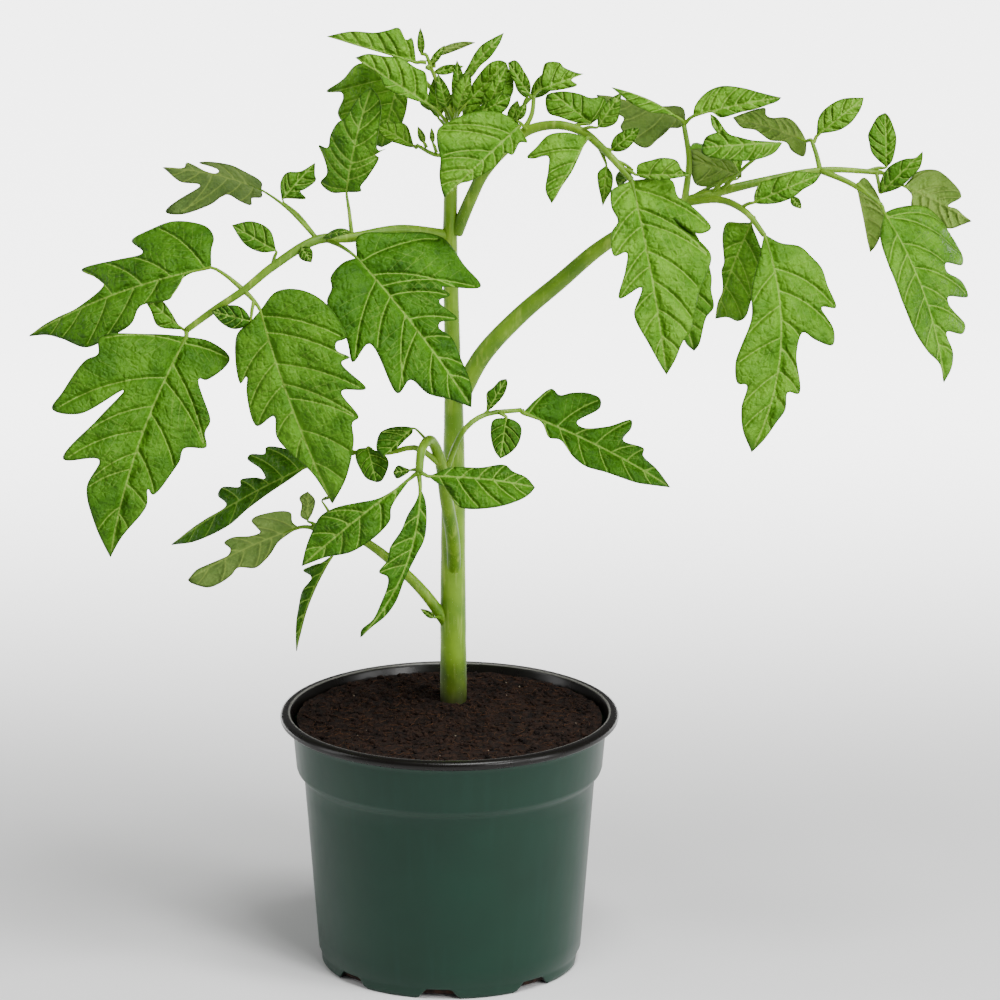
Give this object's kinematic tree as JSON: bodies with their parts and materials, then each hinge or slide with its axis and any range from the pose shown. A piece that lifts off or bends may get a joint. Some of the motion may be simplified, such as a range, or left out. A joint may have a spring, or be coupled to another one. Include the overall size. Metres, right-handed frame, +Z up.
{
  "type": "potted tomato plant",
  "caption": "Young tomato plant with drooping lobed leaves, standing in soil in a round tapered nursery pot with a rolled rim.",
  "frame": {"origin": "centre of the pot's flat base, on the surface that the pot stands on", "axes": "+Z up along the pot's axis, -Y towards the viewer, +X to the viewer's right, along the long side branch"},
  "size_m": [0.375, 0.1366, 0.3866],
  "materials": {
    "pot_plastic": "satin dark green injection-moulded plastic outside, black inside and on the rolled rim",
    "soil": "dark brown peat compost with fine fibres and crumbs",
    "stem": "pale yellow-green stem with short fine hairs",
    "leaf": "mid green leaf blade with pale veins and a paler underside",
    "young_leaf": "bright yellow-green young leaf with fine hairs"
  },
  "bodies": {
    "root": {"pot": "pot_plastic", "soil": "soil", "main_stem": "stem", "leaf_left": "leaf", "leaf_front": "leaf", "leaf_low": "leaf", "leaf_right": "leaf", "shoot_right": "leaf", "crown": "young_leaf"}
  },
  "joints": []
}
